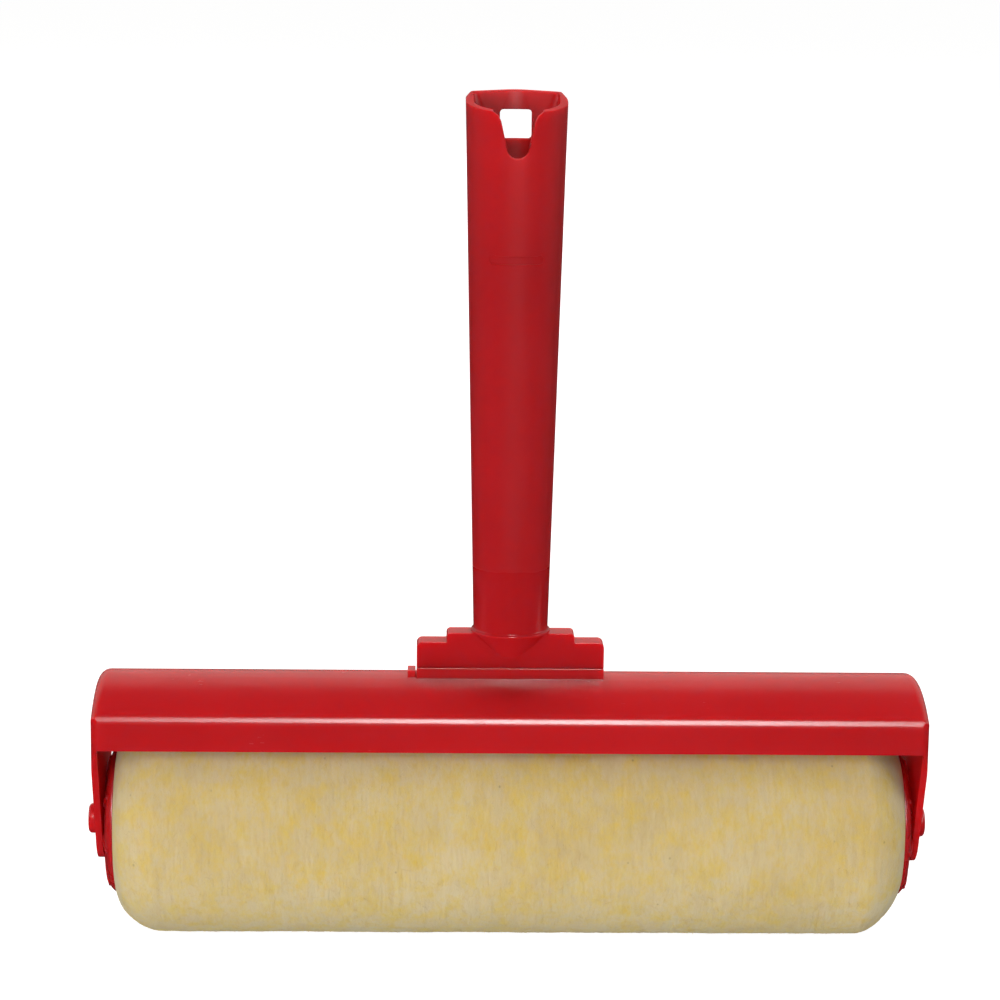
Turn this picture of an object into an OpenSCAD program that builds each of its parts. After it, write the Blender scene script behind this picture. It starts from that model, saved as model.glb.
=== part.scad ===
// Splash-guard paint roller with a slide-on pole handle.
// X runs along the axle, Y from front to back and Z up the handle.
// The origin is on the pole socket's axis, at the ledge that stops the pole.
// Heights named *_z are measured from the axle, which lies axle_drop below the origin.

/* [Guard] */
// Length of the guard over both end walls
guard_length = 231.6; // [180:0.2:280]
// Outer radius of the guard's arch about the axle
guard_r = 42.4; // [41:0.1:46]
// Distance of the vertical lips' outer faces from the middle plane
lip_y = 23.2; // [20:0.1:26]
// Height of the lips' lower edges above the axle
lip_z = 26; // [24:0.5:29]
// Wall thickness of the guard and its arms
guard_wall = 1.9; // [1.6:0.1:2.2]
// Rounding where the arch and end walls meet
edge_r = 3; // [2.6:0.1:4]
// Rounding of the crease between the arch and each lip
crease_r = 4; // [3:0.1:5]
// Radius of the arms' rounded tips
arm_tip_r = 11; // [8:0.5:13]

/* [Roller] */
// Length of the core tube and of the fleece on it
core_length = 220.4; // [170:0.1:220.4]
// Outer radius of the core tube
core_r = 20; // [18:0.5:22]
// Wall thickness of the core tube
core_wall = 1.5; // [1:0.1:2]
// Outer radius of the fleece
fleece_r = 31.9; // [28:0.1:32]
// Length of the rounded shoulder at each end of the fleece
shoulder_length = 11.8; // [8:0.1:16]

/* [End caps and axle pins] */
// Radius of the end caps' rims
cap_r = 20.5; // [20.2:0.1:22]
// Height of the caps' domed faces over their rims
cap_dome = 3.4; // [3:0.1:3.4]
// Length of the cap's plug inside the core tube
plug_length = 12; // [8:0.5:16]
// Radial ribs on each cap
cap_ribs = 8; // [4:1:12]
// Radius of the axle pins
pin_r = 2.8; // [2:0.1:3.5]
// Radius of the pins' heads
head_r = 4.2; // [4:0.1:5]
// How far the pins' heads stand out from the arms
head_height = 2.8; // [1.5:0.1:3.4]
// Running clearance between a pin and the cap that turns on it
running_gap = 0.06; // [0.03:0.01:0.1]

/* [Handle] */
// Radius of the grip at its lower end
grip_base_r = 10.4; // [10.2:0.1:11]
// Half width of the grip at its mouth
grip_mouth_r = 14; // [13.8:0.1:15]
// Height of the mouth's back edge above the axle
mouth_z = 205.4; // [195:0.2:215]
// Wall thickness around the mouth
mouth_wall = 1.95; // [1.7:0.05:2.2]
// Radius of the round socket that takes the pole
socket_r = 11.1; // [10.8:0.05:11.2]
// Height of the ledge that stops the pole
axle_drop = 160; // [150:1:165]
// Width of the hanging hole in the back wall
hang_w = 8.8; // [6:0.1:10]
// Height of the hanging hole
hang_h = 8; // [5:0.1:9]
// Radius at the bottom of the thumb notch in the front wall
notch_r = 3; // [2:0.1:4]

/* [Foot and rail] */
// Length of the foot and of the rail it slides on
foot_length = 52.5; // [46:0.5:60]
// Front to back thickness of the foot
foot_depth = 7.5; // [7:0.1:9]
// Length of the foot's raised middle step
step_length = 35.8; // [30:0.1:40]

/* [Hidden] */
$fn = 96;
eps = 0.01;
red = [0.72, 0.12, 0.14];
cream = [0.86, 0.79, 0.55];

guard_half = guard_length / 2;
inner_half = guard_half - guard_wall;
arm_hole_r = pin_r + 0.04;

// rail on top of the guard and the foot that slides onto it
rail_top_z = guard_r + 2.9;
rail_depth = foot_depth + 0.9;
tongue_neck = 1.1;
tongue_head = 2.1;
tongue_step = 1.5;
tongue_h = 3;
tongue_back = 4;
slide_gap = 0.15;
foot_top_z = rail_top_z + 7.4;
step_top_z = foot_top_z + 2.7;
catch_h = 1.9;
catch_w = 2.2;
catch_depth = 6;

// grip
grip_floor_z = step_top_z + 2.2;
grip_front = grip_mouth_r - 0.5;
corner_r = 3.4;
corner_y = 9;
ridge_y = 13.4;
ridge_r = 2;
stop_ledge = 1.2;
cavity_base_r = grip_base_r - 1.8;
socket_length = 26;
mouth_floor_z = axle_drop + socket_length;
front_drop = 4.5;
hang_z = mouth_z - 9.2;
notch_z = mouth_z - 13.8;
mark_half = 7.4;
mark_h = 2.2;
mark_depth = 0.35;
fairing_h = 7.2;
collar = 0.7;

core_half = core_length / 2;
plug_r = core_r - core_wall - 0.05;
hub_r = 5.2;
cap_wall = 1.6;
web = 1.2;
rib_rise = 0.5;
pin_reach = plug_length - 1;

// puts children that are measured from the axle into the part's frame
module from_axle() {
    translate([0, 0, -axle_drop]) children();
}

// extrudes an outline drawn in Y and Z along X
module along_x(length) {
    rotate([90, 0, 90]) linear_extrude(length, center = true) children();
}

// extrudes an outline drawn in X and Z along Y
module along_y(length) {
    rotate([90, 0, 0]) linear_extrude(length, center = true) children();
}

// turns a radius-by-distance profile about the X axis, distance towards +X
module turned_x() {
    rotate([0, 90, 0]) rotate_extrude() children();
}

// rectangle about the origin with four round corners
module round_rect(w, h, r) {
    square([w - 2 * r, h], center = true);
    square([w, h - 2 * r], center = true);
    for (x = [-1, 1], y = [-1, 1])
        translate([x * (w / 2 - r), y * (h / 2 - r)]) circle(r);
}

// rectangle standing on y = 0 with its two upper corners round
module round_top(w, h, r) {
    translate([-w / 2, 0]) square([w, h - r]);
    translate([-w / 2 + r, 0]) square([w - 2 * r, h]);
    for (x = [-1, 1]) translate([x * (w / 2 - r), h - r]) circle(r);
}

// ---------------------------------------------------------------- drip shield

// the guard's section: an arch with a rounded crease down into each upright lip
module guard_section(inset) {
    r = guard_r - inset;
    c = crease_r - inset;
    cy = lip_y - crease_r;
    cz = sqrt((r - c) * (r - c) - cy * cy);
    reach = 2 * r / (r - c);
    intersection() {
        circle(r);
        polygon([[0, 0], [cy * reach, cz * reach], [-cy * reach, cz * reach]]);
    }
    for (s = [-1, 1]) translate([s * cy, cz]) circle(c);
    translate([inset - lip_y, -arm_tip_r - 1])
        square([2 * (lip_y - inset), cz + arm_tip_r + 1]);
}

// solid block inside the guard's outer face, with its ends and corners rounded
module guard_block() {
    intersection() {
        along_x(guard_length) guard_section(0);
        turned_x()
            intersection() {
                round_rect(2 * guard_r, guard_length, edge_r);
                translate([0, -guard_half]) square([guard_r, guard_length]);
            }
        translate([0, 0, -guard_r])
            linear_extrude(2 * guard_r) round_rect(guard_length, 2 * lip_y, edge_r);
    }
}

// the space inside the guard, open below the lips
module guard_inside() {
    along_x(2 * inner_half) {
        guard_section(guard_wall);
        translate([-guard_r, -guard_r]) square([2 * guard_r, guard_r + lip_z]);
    }
}

// side view of an end wall: straight edges run from the lips down to a round tip
module end_outline() {
    a = atan2(lip_z, lip_y) - acos(arm_tip_r / norm([lip_y, lip_z]));
    t = arm_tip_r * [cos(a), sin(a)];
    side = lip_y + 2;
    polygon([[side, guard_r + 2], [side, lip_z], [lip_y, lip_z], t,
             [-t[0], t[1]], [-lip_y, lip_z], [-side, lip_z], [-side, guard_r + 2]]);
    circle(arm_tip_r);
}

// raised rail with a T-shaped tongue that the handle's foot slides onto
module rail() {
    along_x(foot_length)
        translate([-rail_depth / 2, guard_r - guard_wall])
            square([rail_depth, rail_top_z - guard_r + guard_wall]);
    translate([-tongue_back / 2, 0, 0])
        along_x(foot_length - tongue_back) {
            translate([-tongue_neck, rail_top_z - eps]) square([2 * tongue_neck, tongue_h + eps]);
            translate([-tongue_head, rail_top_z + tongue_step])
                square([2 * tongue_head, tongue_h - tongue_step]);
        }
    translate([-foot_length / 2 - catch_w - 0.3, 0, 0])
        translate([0, -catch_depth / 2, guard_r - guard_wall])
            cube([catch_w, catch_depth, guard_wall + catch_h]);
}

module drip_shield() {
    color(red)
    from_axle()
    difference() {
        union() {
            intersection() {
                guard_block();
                along_x(guard_length + 2) end_outline();
            }
            rail();
        }
        guard_inside();
        along_x(guard_length + 20) circle(arm_hole_r);
    }
}

// --------------------------------------------------------------------- handle

// outer form of the grip: round below, wide with a nearly flat back at the mouth
module grip_form(inset, low_z, low_r) {
    hull() {
        translate([0, 0, low_z]) cylinder(r = low_r, h = eps);
        translate([0, 0, mouth_z + 1]) {
            translate([0, grip_mouth_r - grip_front, 0])
                cylinder(r = grip_mouth_r - inset, h = eps);
            for (s = [-1, 1])
                translate([s * (grip_mouth_r - corner_r), corner_y, 0])
                    cylinder(r = corner_r - inset, h = eps);
            translate([0, ridge_y - ridge_r, 0]) cylinder(r = ridge_r - inset + eps, h = eps);
        }
    }
}

// what is cut away above the slanting mouth, with its back corners sloped off
module above_mouth() {
    far = 30;
    slope = front_drop / (ridge_y + grip_front);
    along_x(4 * far)
        polygon([[ridge_y + far, mouth_z + slope * far], [-grip_front - far, mouth_z - front_drop - slope * far],
                 [-grip_front - far, mouth_z + far], [ridge_y + far, mouth_z + far]]);
    translate([0, far / 2, 0])
        along_y(far)
            for (s = [-1, 1])
                polygon([[s * (grip_mouth_r - 2.2), mouth_z + 0.4], [s * (grip_mouth_r + 1), mouth_z - 2.9],
                         [s * (grip_mouth_r + far), mouth_z - 2.9], [s * (grip_mouth_r + far), mouth_z + far],
                         [s * (grip_mouth_r - 2.2), mouth_z + far]]);
}

// thumb notch in the front wall, flaring out into the rim
module notch() {
    rim_z = mouth_z - front_drop;
    throat = [notch_r + 1.6, rim_z - 2.2];
    bend = [notch_r + 2.4, rim_z - 0.8];
    flare = [notch_r + 3.8, rim_z + 0.3];
    translate([0, -grip_front, 0])
        along_y(grip_front) {
            translate([0, notch_z]) circle(notch_r);
            for (s = [-1, 1])
                polygon([[0, notch_z], [s * notch_r, notch_z], [s * throat[0], throat[1]],
                         [s * bend[0], bend[1]], [s * flare[0], flare[1]],
                         [s * flare[0], rim_z + 9], [0, rim_z + 9]]);
        }
}

// shallow mark across the front, level with the pole's stop
module stop_mark() {
    difference() {
        translate([0, -grip_front, axle_drop + mark_h / 2])
            along_y(grip_front) {
                round_rect(2 * mark_half, mark_h, mark_h / 2 - 0.02);
                for (x = [-1, 1]) translate([x * (mark_half - 1.1), 0.3]) circle(1.1);
            }
        grip_form(mark_depth, step_top_z, grip_base_r - mark_depth);
    }
}

// pole socket, the tapered hollow under it and the wide mouth above it
module grip_hollow() {
    translate([0, 0, grip_floor_z])
        cylinder(r1 = cavity_base_r, r2 = socket_r - stop_ledge, h = axle_drop - grip_floor_z + eps);
    translate([0, 0, axle_drop]) cylinder(r = socket_r, h = mouth_z - axle_drop + 5);
    grip_form(mouth_wall, mouth_floor_z, socket_r - 1);
}

// stepped foot under the grip, with the slot for the rail's tongue
module foot() {
    difference() {
        union() {
            translate([0, 0, rail_top_z])
                along_y(foot_depth) {
                    round_top(foot_length, foot_top_z - rail_top_z, 1.6);
                    round_top(step_length, step_top_z - rail_top_z, 1.2);
                }
            translate([0, 0, step_top_z - fairing_h])
                cylinder(r1 = foot_depth / 2, r2 = grip_base_r, h = fairing_h);
            translate([0, 0, step_top_z])
                rotate_extrude()
                    difference() {
                        square([grip_base_r + collar, 2 * collar]);
                        translate([grip_base_r + collar, 2 * collar]) circle(collar);
                    }
        }
        translate([-tongue_back, 0, 0])
            along_x(foot_length) {
                translate([-tongue_neck - slide_gap, rail_top_z - 1])
                    square([2 * (tongue_neck + slide_gap), tongue_h + slide_gap + 1]);
                translate([-tongue_head - slide_gap, rail_top_z + tongue_step - slide_gap])
                    square([2 * (tongue_head + slide_gap), tongue_h - tongue_step + 2 * slide_gap]);
            }
    }
}

module handle() {
    color(red)
    from_axle()
    difference() {
        union() {
            grip_form(0, step_top_z, grip_base_r);
            foot();
        }
        grip_hollow();
        above_mouth();
        notch();
        stop_mark();
        translate([0, ridge_y, hang_z]) along_y(ridge_y) round_rect(hang_w, hang_h, 1);
    }
}

// ------------------------------------------------------------------ axle pins

// headed pin pressed through an arm and reaching into an end cap's hub
module axle_pin(side) {
    reach = guard_half - core_half + pin_reach;
    chamfer = 0.6;
    color(red)
    from_axle()
    mirror([side < 0 ? 1 : 0, 0, 0])
        translate([guard_half, 0, 0])
            turned_x()
                polygon([[0, -reach], [pin_r - chamfer, -reach], [pin_r, chamfer - reach], [pin_r, 0],
                         [head_r, 0], [head_r, head_height - chamfer],
                         [head_r - chamfer, head_height], [0, head_height]]);
}

module axle_pin_left() { axle_pin(-1); }
module axle_pin_right() { axle_pin(1); }

// --------------------------------------------------------------------- roller

module core_tube() {
    color("tan")
    from_axle()
    turned_x()
        translate([core_r - core_wall, -core_half]) square([core_wall, core_length]);
}

// pile sleeve with rounded shoulders, plain and closed
module fleece_cover() {
    inner = core_r + 0.05;
    rise = fleece_r - cap_r - 0.3;
    fullness = 1.18;
    shoulder = [for (a = [0 : 15 : 90])
        [fleece_r - rise * (1 - pow(cos(a), fullness)),
         core_half - shoulder_length * (1 - pow(sin(a), fullness))]];
    back = [for (i = [len(shoulder) - 1 : -1 : 0]) [shoulder[i][0], -shoulder[i][1]]];
    color(cream)
    from_axle()
    turned_x()
        polygon(concat([[inner, -core_half]], back, shoulder, [[inner, core_half]]));
}

// domed face of a cap, raised by rise for the ribs on it
module cap_dome_profile(rise) {
    d = cap_dome;
    r = cap_r;
    polygon([[0, 0], [r, 0], [r, 0.2 * d + rise], [r - 0.9, 0.44 * d + rise], [r - 2.6, 0.62 * d + rise],
             [r - 5.5, 0.78 * d + rise], [r - 9, 0.9 * d + rise], [hub_r + 1, d], [0, d]]);
}

module end_cap(side) {
    d = cap_dome;
    color(red)
    from_axle()
    mirror([side < 0 ? 1 : 0, 0, 0])
        translate([core_half, 0, 0])
            difference() {
                union() {
                    turned_x()
                        difference() {
                            cap_dome_profile(0);
                            polygon([[hub_r, -1], [plug_r - cap_wall, -1], [plug_r - cap_wall, 0.1],
                                     [cap_r - 6, 0.35 * d], [cap_r - 10, 0.48 * d], [hub_r, 0.55 * d]]);
                        }
                    turned_x() translate([plug_r - cap_wall, -plug_length]) square([cap_wall, plug_length]);
                    turned_x() translate([0, -plug_length]) square([hub_r, plug_length + d - eps]);
                    for (i = [0 : 5])
                        rotate([60 * i, 0, 0])
                            translate([-plug_length + 2, -web / 2, hub_r - 0.5])
                                cube([plug_length - 2 + 0.4 * d, web, plug_r - cap_wall - hub_r + 1]);
                    intersection() {
                        turned_x() cap_dome_profile(rib_rise);
                        for (i = [0 : cap_ribs - 1])
                            rotate([360 / cap_ribs * (i + 0.25), 0, 0])
                                translate([0.3 * d, -web / 2, hub_r + 2.5])
                                    cube([d, web, cap_r - hub_r - 3.4]);
                    }
                }
                along_x(4 * plug_length) circle(pin_r + running_gap);
            }
}

module end_cap_left() { end_cap(-1); }
module end_cap_right() { end_cap(1); }

drip_shield();
handle();
axle_pin_left();
axle_pin_right();
core_tube();
fleece_cover();
end_cap_left();
end_cap_right();
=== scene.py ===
import math

import bmesh
import bpy
import numpy as np
from mathutils import Matrix, Vector


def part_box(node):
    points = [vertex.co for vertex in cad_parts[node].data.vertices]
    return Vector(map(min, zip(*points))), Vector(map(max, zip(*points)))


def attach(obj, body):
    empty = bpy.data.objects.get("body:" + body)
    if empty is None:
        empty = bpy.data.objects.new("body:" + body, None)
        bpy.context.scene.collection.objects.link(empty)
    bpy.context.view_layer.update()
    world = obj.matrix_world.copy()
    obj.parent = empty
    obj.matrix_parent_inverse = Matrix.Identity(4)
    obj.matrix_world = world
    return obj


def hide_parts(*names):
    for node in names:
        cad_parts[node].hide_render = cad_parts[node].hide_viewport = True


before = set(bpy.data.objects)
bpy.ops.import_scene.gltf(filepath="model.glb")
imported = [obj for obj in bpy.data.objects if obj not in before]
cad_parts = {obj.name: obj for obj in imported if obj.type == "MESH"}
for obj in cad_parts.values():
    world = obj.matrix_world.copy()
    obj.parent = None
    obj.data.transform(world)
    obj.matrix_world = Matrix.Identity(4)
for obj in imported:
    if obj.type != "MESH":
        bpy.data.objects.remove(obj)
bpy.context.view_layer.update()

MM = 0.001
SEED = 4127

# The CAD's own places: the axle and the fleece.
axle_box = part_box("core_tube")
fleece_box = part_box("fleece_cover")
AXLE = (axle_box[0] + axle_box[1]) / 2
CORE_R = (axle_box[1].z - axle_box[0].z) / 2
FLEECE_R = (fleece_box[1].z - fleece_box[0].z) / 2
FLEECE_HALF = (fleece_box[1].x - fleece_box[0].x) / 2
FLOOR_GAP = 0.15 * MM      # clears the fleece's nap, apart from its longest stray fibres
FLOOR_Z = fleece_box[0].z - FLOOR_GAP

# Boxes about the axle, in mm, round details too small for the full rounding, and its share there.
# X and Y are distances from the middle, so each box stands for its mirror images too.
MARK_BOX = ((0, 0, 159), (12, 20, 163), 0.3)
SLOT_BOX = ((0, 0, 44), (30, 2.9, 49.4), 0.5)
MOUTH_FLOOR = 180 * MM     # height over the axle above which the grip's walls are twisted


# ---------------------------------------------------------------- camera

CAMERA_FROM_AXLE = Vector((-26.3, -861.0, 261.8)) * MM
CAMERA_YAW = 0.02663       # radians, as the roll is
CAMERA_PITCH = math.radians(-11.11)
CAMERA_ROLL = 0.01249
LENS = 113.4               # mm, as the sensor is
SENSOR = 36.0


def make_camera():
    """The photograph's view: a long lens from just left of the middle, looking a little down."""
    forward = Vector((math.sin(CAMERA_YAW) * math.cos(CAMERA_PITCH),
                      math.cos(CAMERA_YAW) * math.cos(CAMERA_PITCH),
                      math.sin(CAMERA_PITCH)))
    level = Vector((math.cos(CAMERA_YAW), -math.sin(CAMERA_YAW), 0))
    upright = level.cross(forward)
    right = math.cos(CAMERA_ROLL) * level + math.sin(CAMERA_ROLL) * upright
    up = -math.sin(CAMERA_ROLL) * level + math.cos(CAMERA_ROLL) * upright
    data = bpy.data.cameras.new("camera")
    data.lens = LENS
    data.sensor_width = SENSOR
    camera = bpy.data.objects.new("camera", data)
    bpy.context.scene.collection.objects.link(camera)
    turn = Matrix((right, up, -forward)).transposed()
    camera.matrix_world = Matrix.Translation(AXLE + CAMERA_FROM_AXLE) @ turn.to_4x4()
    bpy.context.scene.camera = camera


# ---------------------------------------------------------------- shader helpers

class Shader:
    """A material's node tree with a Principled shader, and short ways to add to it."""

    def __init__(self, name):
        self.material = bpy.data.materials.new(name)
        self.material.use_nodes = True
        self.tree = self.material.node_tree
        self.tree.nodes.clear()
        out = self.tree.nodes.new("ShaderNodeOutputMaterial")
        self.surface = self.tree.nodes.new("ShaderNodeBsdfPrincipled")
        self.tree.links.new(self.surface.outputs[0], out.inputs["Surface"])
        self.place = self.tree.nodes.new("ShaderNodeTexCoord").outputs["Object"]

    def put(self, value, socket):
        """Links value to the socket if it is another socket, or sets it."""
        if isinstance(value, bpy.types.NodeSocket):
            self.tree.links.new(value, socket)
        else:
            socket.default_value = value

    def scaled(self, scale, shift=(0, 0, 0)):
        """The place on the piece, in metres, stretched and shifted."""
        node = self.tree.nodes.new("ShaderNodeMapping")
        self.put(self.place, node.inputs["Vector"])
        node.inputs["Scale"].default_value = scale
        node.inputs["Location"].default_value = shift
        return node.outputs[0]

    def noise(self, scale, detail=2.0, rough=0.5, stretch=(1, 1, 1), shift=(0, 0, 0)):
        node = self.tree.nodes.new("ShaderNodeTexNoise")
        self.put(self.scaled(stretch, shift), node.inputs["Vector"])
        node.inputs["Scale"].default_value = scale
        node.inputs["Detail"].default_value = detail
        node.inputs["Roughness"].default_value = rough
        return node.outputs["Fac"]

    def voronoi(self, scale, stretch=(1, 1, 1)):
        node = self.tree.nodes.new("ShaderNodeTexVoronoi")
        self.put(self.scaled(stretch), node.inputs["Vector"])
        node.inputs["Scale"].default_value = scale
        return node.outputs["Distance"]

    def spread(self, value, low, high, to_low=0.0, to_high=1.0):
        """Carries low to high over to another range, and holds its ends beyond them."""
        node = self.tree.nodes.new("ShaderNodeMapRange")
        for socket, v in zip(("Value", "From Min", "From Max", "To Min", "To Max"),
                             (value, low, high, to_low, to_high)):
            self.put(v, node.inputs[socket])
        return node.outputs[0]

    def math(self, kind, a, b):
        node = self.tree.nodes.new("ShaderNodeMath")
        node.operation = kind
        self.put(a, node.inputs[0])
        self.put(b, node.inputs[1])
        return node.outputs[0]

    def mix(self, amount, a, b):
        node = self.tree.nodes.new("ShaderNodeMix")
        node.data_type = "RGBA"
        self.put(amount, node.inputs["Factor"])
        colours = [s for s in node.inputs if s.type == "RGBA"]
        for value, socket in zip((a, b), colours):
            self.put(value if isinstance(value, bpy.types.NodeSocket) else (*value, 1), socket)
        return next(s for s in node.outputs if s.type == "RGBA")

    def axis(self, index):
        """One coordinate of the place: 0 is X, 1 is Y and 2 is Z."""
        node = self.tree.nodes.new("ShaderNodeSeparateXYZ")
        self.put(self.place, node.inputs[0])
        return node.outputs[index]

    def bump(self, height, depth, under=None):
        """depth is in metres, and under is a bump that this one lies on."""
        node = self.tree.nodes.new("ShaderNodeBump")
        node.inputs["Strength"].default_value = 1.0
        node.inputs["Distance"].default_value = depth
        self.put(height, node.inputs["Height"])
        if under is not None:
            self.put(under, node.inputs["Normal"])
        return node.outputs[0]

    def set(self, **values):
        """Sets or links the Principled shader's inputs, with _ for each space in a name."""
        for name, value in values.items():
            self.put(value, self.surface.inputs[name.replace("_", " ")])


def rgb(r, g, b):
    """An sRGB colour, 0 to 255, as linear values."""
    def linear(c):
        c /= 255
        return c / 12.92 if c <= 0.04045 else ((c + 0.055) / 1.055) ** 2.4
    return linear(r), linear(g), linear(b)


# ---------------------------------------------------------------- plastics

RED = (0.60, 0.0140, 0.0190)
RED_DEEP = (0.52, 0.0110, 0.0155)
RED_WORN = (0.62, 0.024, 0.030)
GRIP_RED = (0.46, 0.0115, 0.0165)
GRIP_RED_DEEP = (0.41, 0.0095, 0.0140)
PLASTIC_IOR = 1.49
GLOW_REACH = 8 * MM                 # how far red light travels inside the plastic
GLOW_BALANCE = (1.0, 0.12, 0.08)    # and green and blue, against red
PEEL_DEPTH = 0.012 * MM
PIT_DEPTH = 0.03 * MM
FINISH_BLUR = 0.5 * MM              # half the width of the step from smooth to matt
FINISH_WANDER = 0.4 * MM


def moulded(name, red=RED, deep=RED_DEEP, gloss=(0.2, 0.3), grain=0.0, finish=None, shine=0.5):
    """Glossy moulded polypropylene: faint flow marks, orange peel and light scuffs.

    gloss is the least and most roughness, and grain the depth of a spark-eroded texture. finish
    is (height, added roughness): above that height the surface is matt and pitted."""
    s = Shader(name)
    flow = s.noise(22, 3, 0.55, stretch=(0.5, 1, 1))
    cloud = s.noise(70, 2, 0.6, shift=(3.1, 0.4, 1.7))
    scuff = s.noise(520, 4, 0.65, stretch=(0.35, 1, 1), shift=(0.7, 2.2, 5.1))
    peel = s.noise(420, 2, 0.5)
    tint = s.mix(s.spread(flow, 0.35, 0.68), red, deep)
    tint = s.mix(s.spread(scuff, 0.68, 0.86, 0, 0.12), tint, RED_WORN)
    low, high = gloss
    rough = s.spread(cloud, 0.3, 0.7, low, high)
    rough = s.math("ADD", rough, s.spread(scuff, 0.60, 0.85, 0, 0.04))
    normal = s.bump(peel, PEEL_DEPTH)
    if finish is not None:
        height, matt = finish
        wander = s.spread(s.noise(160, 2), 0.3, 0.7, -FINISH_WANDER, FINISH_WANDER)
        ragged = s.math("ADD", s.axis(2), wander)
        above = s.spread(ragged, height - FINISH_BLUR, height + FINISH_BLUR)
        rough = s.math("ADD", rough, s.math("MULTIPLY", above, matt))
        pits = s.math("MULTIPLY", s.noise(2600, 3, 0.6), above)
        normal = s.bump(pits, PIT_DEPTH, under=normal)
    elif grain:
        normal = s.bump(s.noise(2600, 3, 0.6), grain, under=normal)
    s.set(Base_Color=tint, Roughness=rough, Normal=normal)
    s.surface.inputs["IOR"].default_value = PLASTIC_IOR
    s.surface.inputs["Specular IOR Level"].default_value = shine
    s.surface.inputs["Subsurface Weight"].default_value = 1.0
    s.surface.inputs["Subsurface Radius"].default_value = GLOW_BALANCE
    s.surface.inputs["Subsurface Scale"].default_value = GLOW_REACH
    return s.material


BOARD = (0.30, 0.20, 0.11)
BOARD_PALE = (0.42, 0.30, 0.18)
BOARD_RING = (0.20, 0.12, 0.06)
BOARD_RELIEF = 0.05 * MM


def card_tube():
    """The core: brown wound board, ringed where its layers meet."""
    s = Shader("core_board")
    fibre = s.noise(900, 4, 0.6, stretch=(1, 0.3, 0.3))
    ring = s.noise(60, 2, 0.5, stretch=(3, 0.2, 0.2))
    tint = s.mix(s.spread(fibre, 0.3, 0.7), BOARD, BOARD_PALE)
    tint = s.mix(s.spread(ring, 0.55, 0.7, 0, 0.5), tint, BOARD_RING)
    s.set(Base_Color=tint, Roughness=s.spread(fibre, 0.2, 0.8, 0.55, 0.8),
          Normal=s.bump(fibre, BOARD_RELIEF))
    return s.material


# ---------------------------------------------------------------- hard pieces

GUARD_ROUND = 0.17 * MM    # width of the rounding on each piece's sharp edges
GRIP_ROUND = 0.26 * MM
PIN_ROUND = 0.25 * MM
CAP_ROUND = 0.2 * MM
SHARP = 35                 # degrees above which an edge is rounded
CREASE = 32                # degrees above which shading stays sharp
FLAT = 0.3                 # degrees within which faces are joined
EXACTLY_FLAT = 0.01
WELD = 0.002 * MM
EVERYWHERE = 1.0           # a height above the whole part


def merge_flat(bm, below):
    """Joins the CAD's flat triangles, so that the bevel runs cleanly. Above the given height, where
    the walls are gently twisted, only exactly flat ones are joined."""
    for low, angle in ((True, FLAT), (False, EXACTLY_FLAT)):
        verts = [v for v in bm.verts if (v.co.z < below) == low]
        edges = [e for e in bm.edges if all((v.co.z < below) == low for v in e.verts)]
        bmesh.ops.dissolve_limit(bm, angle_limit=math.radians(angle), verts=verts, edges=edges)


def weigh_edges(bm, fine):
    """Bevel weights: 1 on sharp edges, less on those of small details inside the fine boxes."""
    weights = bm.edges.layers.float.new("bevel_weight_edge")
    for edge in bm.edges:
        if len(edge.link_faces) != 2 or edge.calc_face_angle() < math.radians(SHARP):
            continue
        middle = (edge.verts[0].co + edge.verts[1].co) / 2 - AXLE
        middle = (abs(middle.x), abs(middle.y), middle.z)
        edge[weights] = 1.0
        for low, high, weight in fine:
            if all(a * MM < c < b * MM for a, c, b in zip(low, middle, high)):
                edge[weights] = weight


def softened(name, node, material, body, width, below=EVERYWHERE, fine=()):
    """A copy of a CAD node with its sharp moulded edges rounded off, in place of the node."""
    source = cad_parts[node].data
    verts = [v.co[:] for v in source.vertices]
    faces = [p.vertices[:] for p in source.polygons]
    mesh = bpy.data.meshes.new(name)
    mesh.from_pydata(verts, [], faces)
    bm = bmesh.new()
    bm.from_mesh(mesh)
    bmesh.ops.remove_doubles(bm, verts=bm.verts, dist=WELD)
    merge_flat(bm, below)
    weigh_edges(bm, fine)
    bm.to_mesh(mesh)
    bm.free()
    piece = bpy.data.objects.new(name, mesh)
    bpy.context.scene.collection.objects.link(piece)
    bevel = piece.modifiers.new("rounded_edges", "BEVEL")
    bevel.width = width
    bevel.segments = 2
    bevel.limit_method = "WEIGHT"
    bevel.use_clamp_overlap = False
    bevel.miter_outer = "MITER_ARC"
    shade_by_angle(piece)
    piece.data.materials.append(material)
    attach(piece, body)
    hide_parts(node)


def shade_by_angle(piece):
    """Applies the piece's modifiers, then smooths over all but its sharp edges."""
    seen = bpy.context.evaluated_depsgraph_get()
    mesh = bpy.data.meshes.new_from_object(piece.evaluated_get(seen), depsgraph=seen)
    piece.modifiers.clear()
    piece.data = mesh
    mesh.polygons.foreach_set("use_smooth", np.ones(len(mesh.polygons), bool))
    mesh.set_sharp_from_angle(angle=math.radians(CREASE))
    even = piece.modifiers.new("even_shading", "WEIGHTED_NORMAL")
    even.keep_sharp = True


# ---------------------------------------------------------------- fleece

ROWS = 1000                # rows of the sleeve's mesh along the roller
AROUND = 96                # vertices in each row
PROFILE_STEPS = 60         # points along each shoulder
SLOPE_REACH = 0.4 * MM     # distance either way over which a normal is measured
SHOULDER_INNER = 20.8 * MM
SHOULDER = {-1: (12.6 * MM, 1.12), 1: (11.4 * MM, 1.34)}   # length and fullness at each end
BORE_GAP = 0.15 * MM       # between the core and the sleeve's bore
END_INSET = 0.1 * MM
NAP_FADE = 2 * MM          # length at each end over which the nap's relief dies out
LAYER_SEEDS = 8            # one for each noise layer of the nap, and a few spare

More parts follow.
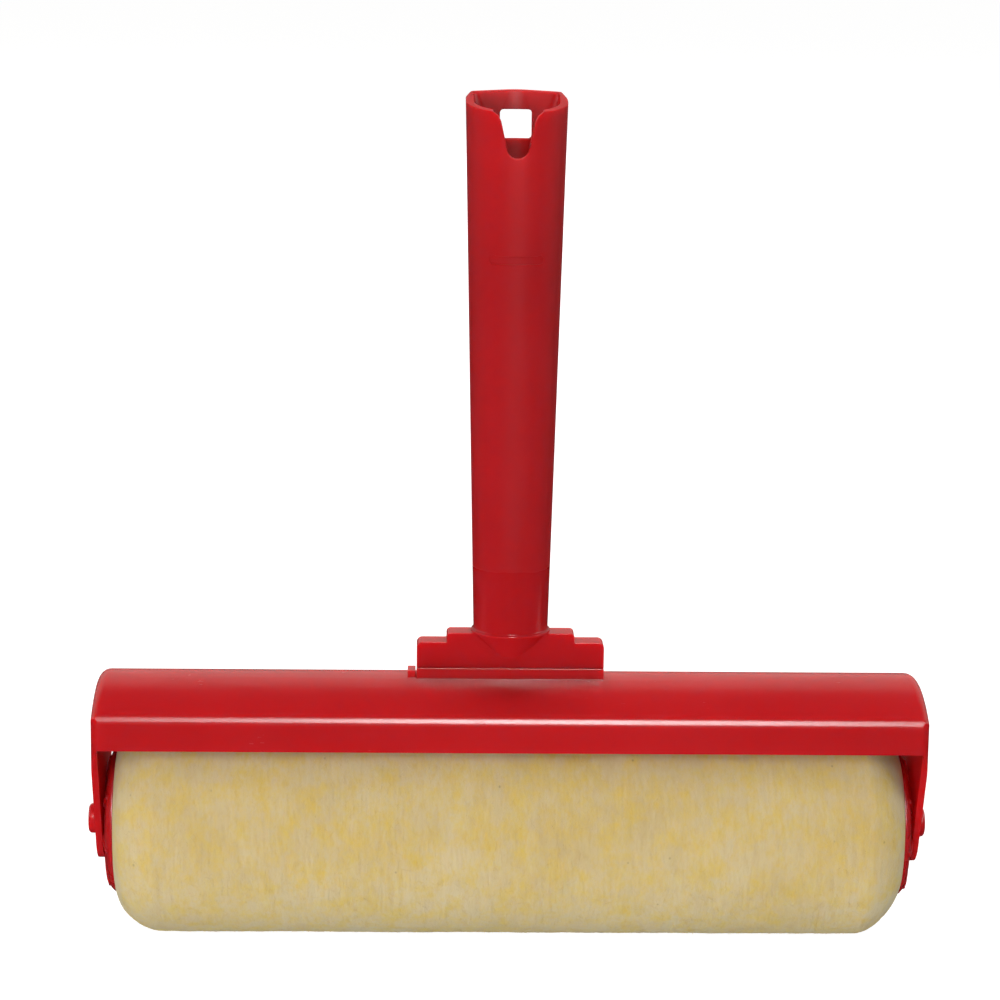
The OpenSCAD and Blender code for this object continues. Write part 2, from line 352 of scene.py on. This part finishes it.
STRANDS = 19000            # fibres in each layer of the pile
LAYERS = 2
PILE_SEED = 10             # added to SEED, and then the layer's number
FORWARD = 0.82             # share of fibres laid down the same way
LEAN = 0.55                # spread of their directions, in radians
REACH = (1.8, 4.4)         # lengths and widths in mm
WIDTH = (0.06, 0.13)
RISE = (0.00, 0.05)        # how far a fibre stands off the nap, in mm
STRAYS = 0.035             # share of fibres that stand out further
STRAY_RISE = (0.1, 0.55)
ROOT_DEPTH = 0.12 * MM
RIDGE = 0.22               # a fibre's thickness as a share of its width


def smooth_noise(rng, rows, columns, u, v):
    """Lattice noise of about -1 to 1 at u (0 to rows) and v (0 to columns, wrapping)."""
    grid = rng.uniform(-1, 1, (rows + 2, columns))
    iu = np.clip(u.astype(int), 0, rows)
    iv = v.astype(int) % columns
    fu, fv = u - np.floor(u), v - np.floor(v)
    fu, fv = fu * fu * (3 - 2 * fu), fv * fv * (3 - 2 * fv)
    jv = (iv + 1) % columns
    low = grid[iu, iv] * (1 - fv) + grid[iu, jv] * fv
    high = grid[iu + 1, iv] * (1 - fv) + grid[iu + 1, jv] * fv
    return low * (1 - fu) + high * fu


class Sleeve:
    """The fleece's outer surface: a run of profile points, and the nap's height over it."""

    def __init__(self):
        rng = np.random.default_rng(SEED)
        self.x, self.r = self.profile()
        step = np.hypot(np.diff(self.x), np.diff(self.r))
        self.length = np.concatenate([[0], np.cumsum(step)])
        self.total = self.length[-1]
        self.seeds = rng.integers(0, 2**31, LAYER_SEEDS)

    @staticmethod
    def profile():
        """Half-round shoulders at both ends of a straight cylinder."""
        angles = np.linspace(0, math.pi / 2, PROFILE_STEPS)
        ends = {}
        for side, (reach, fullness) in SHOULDER.items():
            r = FLEECE_R - (FLEECE_R - SHOULDER_INNER) * (1 - np.cos(angles) ** fullness)
            x = FLEECE_HALF - reach * (1 - np.sin(angles) ** fullness)
            ends[side] = x * side, r
        left, right = ends[-1], ends[1]
        x = np.concatenate([left[0][::-1], right[0]])
        r = np.concatenate([left[1][::-1], right[1]])
        return x, r

    def at(self, s):
        """Distance along X and radius at length s along the profile."""
        return np.interp(s, self.length, self.x), np.interp(s, self.length, self.r)

    def slope(self, s):
        """The outward normal's X and radial parts at length s."""
        xa, ra = self.at(np.clip(s - SLOPE_REACH, 0, self.total))
        xb, rb = self.at(np.clip(s + SLOPE_REACH, 0, self.total))
        size = np.hypot(xb - xa, rb - ra)
        return -(rb - ra) / size, (xb - xa) / size

    def layer(self, index, s, turn, cell, columns, wander=None):
        """Noise in cells of a given length along the roller, and a given number round it."""
        rng = np.random.default_rng(self.seeds[index])
        rows = int(self.total / cell) + 1
        u = s / cell
        if wander is not None:
            u = u + wander
        return smooth_noise(rng, rows, columns, np.clip(u, 0, rows), turn * columns)

    def nap(self, s, turn):
        """How far the pile stands from the smooth profile, at turns 0 to 1 round the roller."""
        drift = self.layer(0, s, turn, 9 * MM, 14)
        streaks = self.layer(1, s, turn, 0.7 * MM, 90, wander=1.6 * drift)
        bands = self.layer(2, s, turn, 1.6 * MM, 60, wander=0.5 * drift)
        tufts = self.layer(3, s, turn, 3.2 * MM, 48)
        waves = self.layer(4, s, turn, 15 * MM, 12)
        return (0.05 * streaks + 0.06 * bands + 0.08 * tufts + 0.10 * waves - 0.24) * MM

    def point(self, s, turn, lift):
        """Places in the row frame, lift above the smooth profile."""
        x, r = self.at(s)
        nx, nr = self.slope(s)
        x, r = x + nx * lift, r + nr * lift
        angle = 2 * math.pi * turn
        return np.stack([AXLE.x + x, AXLE.y + r * np.cos(angle), AXLE.z + r * np.sin(angle)], -1)


def linked_mesh(name, verts, faces, material, smooth=True):
    """A new object in the scene, smooth or flat shaded."""
    mesh = bpy.data.meshes.new(name)
    mesh.from_pydata(verts, [], faces)
    mesh.polygons.foreach_set("use_smooth", np.full(len(mesh.polygons), smooth))
    mesh.materials.append(material)
    mesh.update()
    piece = bpy.data.objects.new(name, mesh)
    bpy.context.scene.collection.objects.link(piece)
    return piece


def quads_between(first, second):
    """Quads joining two rings of vertex numbers."""
    return np.stack([first, np.roll(first, -1), np.roll(second, -1), second], -1)


def make_sleeve(sleeve, material):
    """The pile's ground: a closed sleeve with the nap as real relief."""
    s = np.linspace(0, sleeve.total, ROWS)
    turn = np.arange(AROUND) / AROUND
    ss, tt = np.meshgrid(s, turn, indexing="ij")
    fade = np.clip(np.minimum(ss, sleeve.total - ss) / NAP_FADE, 0, 1)
    lift = sleeve.nap(ss.ravel(), tt.ravel()) * fade.ravel()
    outer = sleeve.point(ss.ravel(), tt.ravel(), lift)
    bore = CORE_R + BORE_GAP
    angle = 2 * math.pi * turn
    ends = []
    for side in (1, -1):
        ends.append(np.stack([np.full(AROUND, AXLE.x + side * (FLEECE_HALF - END_INSET)),
                              AXLE.y + bore * np.cos(angle), AXLE.z + bore * np.sin(angle)], -1))
    verts = np.concatenate([outer, *ends])
    rings = [np.arange(AROUND) + i * AROUND for i in range(ROWS + 2)]
    faces = [quads_between(a, b) for a, b in zip(rings, rings[1:] + rings[:1])]
    piece = linked_mesh("fleece_sleeve", verts.tolist(), np.concatenate(faces).tolist(), material)
    face_out(piece)
    return piece


def face_out(piece):
    """Turns every face of a closed piece outwards."""
    bm = bmesh.new()
    bm.from_mesh(piece.data)
    bmesh.ops.recalc_face_normals(bm, faces=bm.faces)
    bm.to_mesh(piece.data)
    bm.free()


def make_pile(sleeve, number, material):
    """Fibres laid down round the roller: each is a thin closed spike with a ridge along it."""
    rng = np.random.default_rng(SEED + PILE_SEED + number)
    n = STRANDS
    s = rng.uniform(0, 1, n) * sleeve.total
    turn = rng.uniform(0, 1, n)
    way = np.where(rng.uniform(0, 1, n) < FORWARD, 1, -1)
    lean = rng.normal(0, LEAN, n)
    reach = rng.uniform(*REACH, n) * MM
    width = rng.uniform(*WIDTH, n) * MM
    base = sleeve.nap(s, turn)
    stray = (rng.uniform(0, 1, n) < STRAYS) * rng.uniform(*STRAY_RISE, n) * MM
    rise = rng.uniform(*RISE, n) * MM
    lifts = [base - ROOT_DEPTH, base + rise + 0.3 * stray, base + 0.3 * rise + stray]
    rings = []
    for part, lift in zip((0.0, 0.5, 1.0), lifts):
        along = np.clip(s + part * reach * np.sin(lean), 0, sleeve.total)
        radius = np.maximum(sleeve.at(along)[1], 1 * MM)
        around = turn + way * part * reach * np.cos(lean) / (2 * math.pi * radius)
        rings.append((along, around, lift))
    half = width / 2
    verts = []
    for along, around, lift in rings[:2]:
        left = sleeve.point(np.clip(along - half, 0, sleeve.total), around, lift)
        right = sleeve.point(np.clip(along + half, 0, sleeve.total), around, lift)
        ridge = sleeve.point(along, around, lift + RIDGE * width)
        verts += [left, ridge, right]
    along, around, lift = rings[2]
    verts.append(sleeve.point(along, around, lift))
    verts = np.stack(verts, 1).reshape(-1, 3)
    first = np.arange(n)[:, None] * 7     # 3 vertices at the root, 3 at the middle and the tip
    quads = np.array([[0, 1, 4, 3], [1, 2, 5, 4], [2, 0, 3, 5]])
    tips = np.array([[3, 4, 6], [4, 5, 6], [5, 3, 6], [0, 2, 1]])
    flip = way > 0
    faces = []
    for group in (quads, tips):
        for corner in group:
            these = first + corner
            these[flip] = these[flip][:, ::-1]
            faces += these.tolist()
    return linked_mesh(f"fleece_pile_{number}", verts.tolist(), faces, material, smooth=False)


CREAM = rgb(212, 190, 138)
CREAM_PALE = rgb(220, 203, 162)
STRAW = rgb(224, 194, 88)
SHADE = rgb(196, 160, 98)
SPECK = rgb(110, 84, 60)
SHEEN = (1.0, 0.93, 0.78, 1)
STREAK_RELIEF = 0.06 * MM
FIBRE_RELIEF = 0.03 * MM
GROUND_GLOW = 3.0 * MM     # how far light spreads inside the pile
GROUND_BALANCE = (1.0, 0.85, 0.7)


def fleece_material(name, depth=0.0):
    """Short synthetic pile, cream with straw-yellow blotches and fine streaks.

    depth is how far light spreads inside."""
    s = Shader(name)
    blotch = s.noise(170, 5, 0.72, stretch=(1, 0.8, 0.8), shift=(1.2, 4.0, 2.0))
    patch = s.noise(30, 3, 0.6, shift=(6.0, 1.0, 3.0))
    wisp = s.noise(300, 4, 0.7, stretch=(1.3, 0.5, 0.5), shift=(2.0, 7.0, 1.0))
    streak = s.noise(900, 3, 0.6, stretch=(1.2, 0.4, 0.4))
    fibre = s.noise(3000, 2, 0.6, stretch=(1, 0.3, 0.3))
    speck = s.voronoi(120, stretch=(1, 0.8, 0.8))
    tint = s.mix(s.spread(patch, 0.35, 0.7), CREAM, CREAM_PALE)
    tint = s.mix(s.spread(blotch, 0.42, 0.70, 0, 0.80), tint, STRAW)
    tint = s.mix(s.spread(wisp, 0.50, 0.75, 0, 0.55), tint, CREAM_PALE)
    tint = s.mix(s.spread(streak, 0.50, 0.8, 0, 0.22), tint, SHADE)
    tint = s.mix(s.spread(fibre, 0.5, 0.8, 0, 0.2), tint, CREAM_PALE)
    tint = s.mix(s.spread(speck, 0.02, 0.05, 0.35, 0), tint, SPECK)
    normal = s.bump(streak, STREAK_RELIEF)
    normal = s.bump(fibre, FIBRE_RELIEF, under=normal)
    s.set(Base_Color=tint, Roughness=s.spread(fibre, 0.2, 0.8, 0.75, 0.95), Normal=normal)
    s.surface.inputs["Sheen Weight"].default_value = 0.15
    s.surface.inputs["Sheen Roughness"].default_value = 0.5
    s.surface.inputs["Sheen Tint"].default_value = SHEEN
    s.surface.inputs["Specular IOR Level"].default_value = 0.15
    if depth:
        s.surface.inputs["Subsurface Weight"].default_value = 1.0
        s.surface.inputs["Subsurface Radius"].default_value = GROUND_BALANCE
        s.surface.inputs["Subsurface Scale"].default_value = depth
    return s.material


def make_fleece():
    """The sleeve and its layers of pile, which stand for the CAD's fleece."""
    sleeve = Sleeve()
    ground = make_sleeve(sleeve, fleece_material("fleece_ground", GROUND_GLOW))
    pile_look = fleece_material("fleece_fibre")
    pieces = [ground] + [make_pile(sleeve, i + 1, pile_look) for i in range(LAYERS)]
    for piece in pieces:
        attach(piece, "roller")
        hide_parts("fleece_cover")


# ---------------------------------------------------------------- studio

FLOOR_HALF = 10.0
PAPER = (0.26, 0.26, 0.26)
PAPER_PALE = (0.28, 0.28, 0.28)
PAPER_GLOW = 0.96
WALL_WARMTH = (1.0, 0.95, 0.88, 1)
WALL_GLOW = 0.50
WALL_TOP = (0.60, 0.72)    # how far up the wall fades out, as the sine of its elevation
WALL_FOOT = (-0.05, 0.05)
WALL_SIDES = (0.1, 0.5)    # and towards the sides, as how far a direction points backwards
REST_GLOW = 0.03


def make_floor():
    """White paper, lit and faintly glowing, so that it reads as the photograph's plain ground.

    It neither lights nor mirrors in the part, and hides no light that comes from below it."""
    mesh = bpy.data.meshes.new("floor")
    a = FLOOR_HALF
    mesh.from_pydata([(-a, -a, FLOOR_Z), (a, -a, FLOOR_Z), (a, a, FLOOR_Z), (-a, a, FLOOR_Z)],
                     [], [(0, 1, 2, 3)])
    floor = bpy.data.objects.new("floor", mesh)
    bpy.context.scene.collection.objects.link(floor)
    s = Shader("paper")
    s.set(Base_Color=s.mix(s.noise(9, 2), PAPER, PAPER_PALE), Roughness=0.9,
          Emission_Color=(1, 1, 1, 1), Emission_Strength=PAPER_GLOW)
    s.surface.inputs["Specular IOR Level"].default_value = 0.0
    mesh.materials.append(s.material)
    floor.visible_glossy = False
    floor.visible_diffuse = False
    floor.visible_shadow = False


def make_world():
    """Dim studio surroundings with a brighter wall behind, which the guard's top mirrors."""
    world = bpy.data.worlds.new("studio")
    bpy.context.scene.world = world
    world.use_nodes = True
    tree = world.node_tree
    tree.nodes.clear()

    def node(kind, **links):
        """A new node. Its inputs are given by name, or by number as i0, i1 and so on."""
        made = tree.nodes.new(kind)
        for name, value in links.items():
            socket = made.inputs[name] if not name.startswith("i") else made.inputs[int(name[1:])]
            if isinstance(value, bpy.types.NodeSocket):
                tree.links.new(value, socket)
            else:
                socket.default_value = value
        return made

    def times(a, b):
        made = node("ShaderNodeMath", i0=a, i1=b)
        made.operation = "MULTIPLY"
        return made.outputs[0]

    def ramp(value, low, high, to_low=0.0, to_high=1.0):
        return node("ShaderNodeMapRange", i0=value, i1=low, i2=high, i3=to_low,
                    i4=to_high).outputs[0]

    way = node("ShaderNodeSeparateXYZ", i0=node("ShaderNodeTexCoord").outputs["Generated"])
    up, back = way.outputs[2], way.outputs[1]
    below_top = ramp(up, *WALL_TOP, 1.0, 0.0)
    above_floor = ramp(up, *WALL_FOOT)
    behind = ramp(back, *WALL_SIDES)
    wall = times(times(below_top, above_floor), behind)
    glow = ramp(wall, 0.0, 1.0, REST_GLOW, WALL_GLOW)
    backdrop = node("ShaderNodeBackground", Color=(1, 1, 1, 1), Strength=1.0)
    light = node("ShaderNodeBackground", Color=WALL_WARMTH, Strength=glow)
    seen = node("ShaderNodeLightPath").outputs["Is Camera Ray"]
    both = node("ShaderNodeMixShader", i0=seen, i1=light.outputs[0], i2=backdrop.outputs[0])
    node("ShaderNodeOutputWorld", Surface=both.outputs[0])


def softbox(name, azimuth, elevation, distance, size, power, matt=True, gloss=False):
    """A rectangular soft light, facing the axle, that gives matt light, highlights or both.

    Azimuth 0 is the front and 90 the right. Distance and size are in metres, power in watts."""
    a, e = math.radians(azimuth), math.radians(elevation)
    way = Vector((math.sin(a) * math.cos(e), -math.cos(a) * math.cos(e), math.sin(e)))
    data = bpy.data.lights.new(name, "AREA")
    data.shape = "RECTANGLE"
    data.size, data.size_y = size
    data.energy = power
    light = bpy.data.objects.new(name, data)
    light.location = AXLE + way * distance
    light.rotation_mode = "QUATERNION"
    light.rotation_quaternion = way.to_track_quat("Z", "Y")
    light.visible_glossy = gloss
    light.visible_diffuse = matt
    bpy.context.scene.collection.objects.link(light)


def make_studio():
    """Large soft lights for the matt light, and three narrow ones along the guard's crease."""
    make_floor()
    make_world()
    softbox("overhead", 180, 66, 2.6, (2.0, 1.6), 58)
    softbox("bounce", -8, -20, 2.6, (1.8, 1.2), 42)
    softbox("front", -20, 8, 2.8, (1.8, 1.2), 28)
    softbox("key", -15, 44, 2.8, (1.6, 1.1), 12)
    softbox("rear", 165, 16, 2.8, (1.4, 0.9), 28)
    softbox("left", -95, 22, 2.8, (1.6, 0.9), 13, gloss=True)
    softbox("right", 95, 22, 2.8, (1.6, 0.9), 24, gloss=True)
    softbox("strip_right", 7.4, 33, 2.0, (0.34, 1.10), 20.0, matt=False, gloss=True)
    softbox("strip_left", -3.5, 33, 2.0, (0.34, 1.10), 9.0, matt=False, gloss=True)
    softbox("strip_middle", 2.0, 30, 1.9, (0.10, 1.00), 9.0, matt=False, gloss=True)
    bpy.context.scene.view_settings.view_transform = "Standard"


# ---------------------------------------------------------------- build

FINISH_HEIGHT = 74.2 * MM  # over the axle, where the grip turns from smooth to matt
FINISH_MATT = 0.24
PIN_GRAIN = 0.006 * MM
CAP_GRAIN = 0.010 * MM


def build():
    """Everything in the scene: camera, studio, hard pieces, core and fleece."""
    make_camera()
    make_studio()
    guard = moulded("red_guard", gloss=(0.21, 0.27))
    grip = moulded("red_grip", red=GRIP_RED, deep=GRIP_RED_DEEP, gloss=(0.16, 0.22),
                   finish=(AXLE.z + FINISH_HEIGHT, FINISH_MATT), shine=0.22)
    pins = moulded("red_pin", gloss=(0.2, 0.3), grain=PIN_GRAIN)
    caps = moulded("red_cap", gloss=(0.22, 0.34), grain=CAP_GRAIN)
    softened("guard_shell", "drip_shield", guard, "frame", GUARD_ROUND)
    softened("grip_shell", "handle", grip, "frame", GRIP_ROUND,
             below=AXLE.z + MOUTH_FLOOR, fine=(MARK_BOX, SLOT_BOX))
    for side in ("left", "right"):
        softened(f"pin_{side}", f"axle_pin_{side}", pins, "frame", PIN_ROUND)
        softened(f"cap_{side}", f"end_cap_{side}", caps, "roller", CAP_ROUND)
    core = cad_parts["core_tube"]
    core.data.materials.clear()
    core.data.materials.append(card_tube())
    make_fleece()


build()
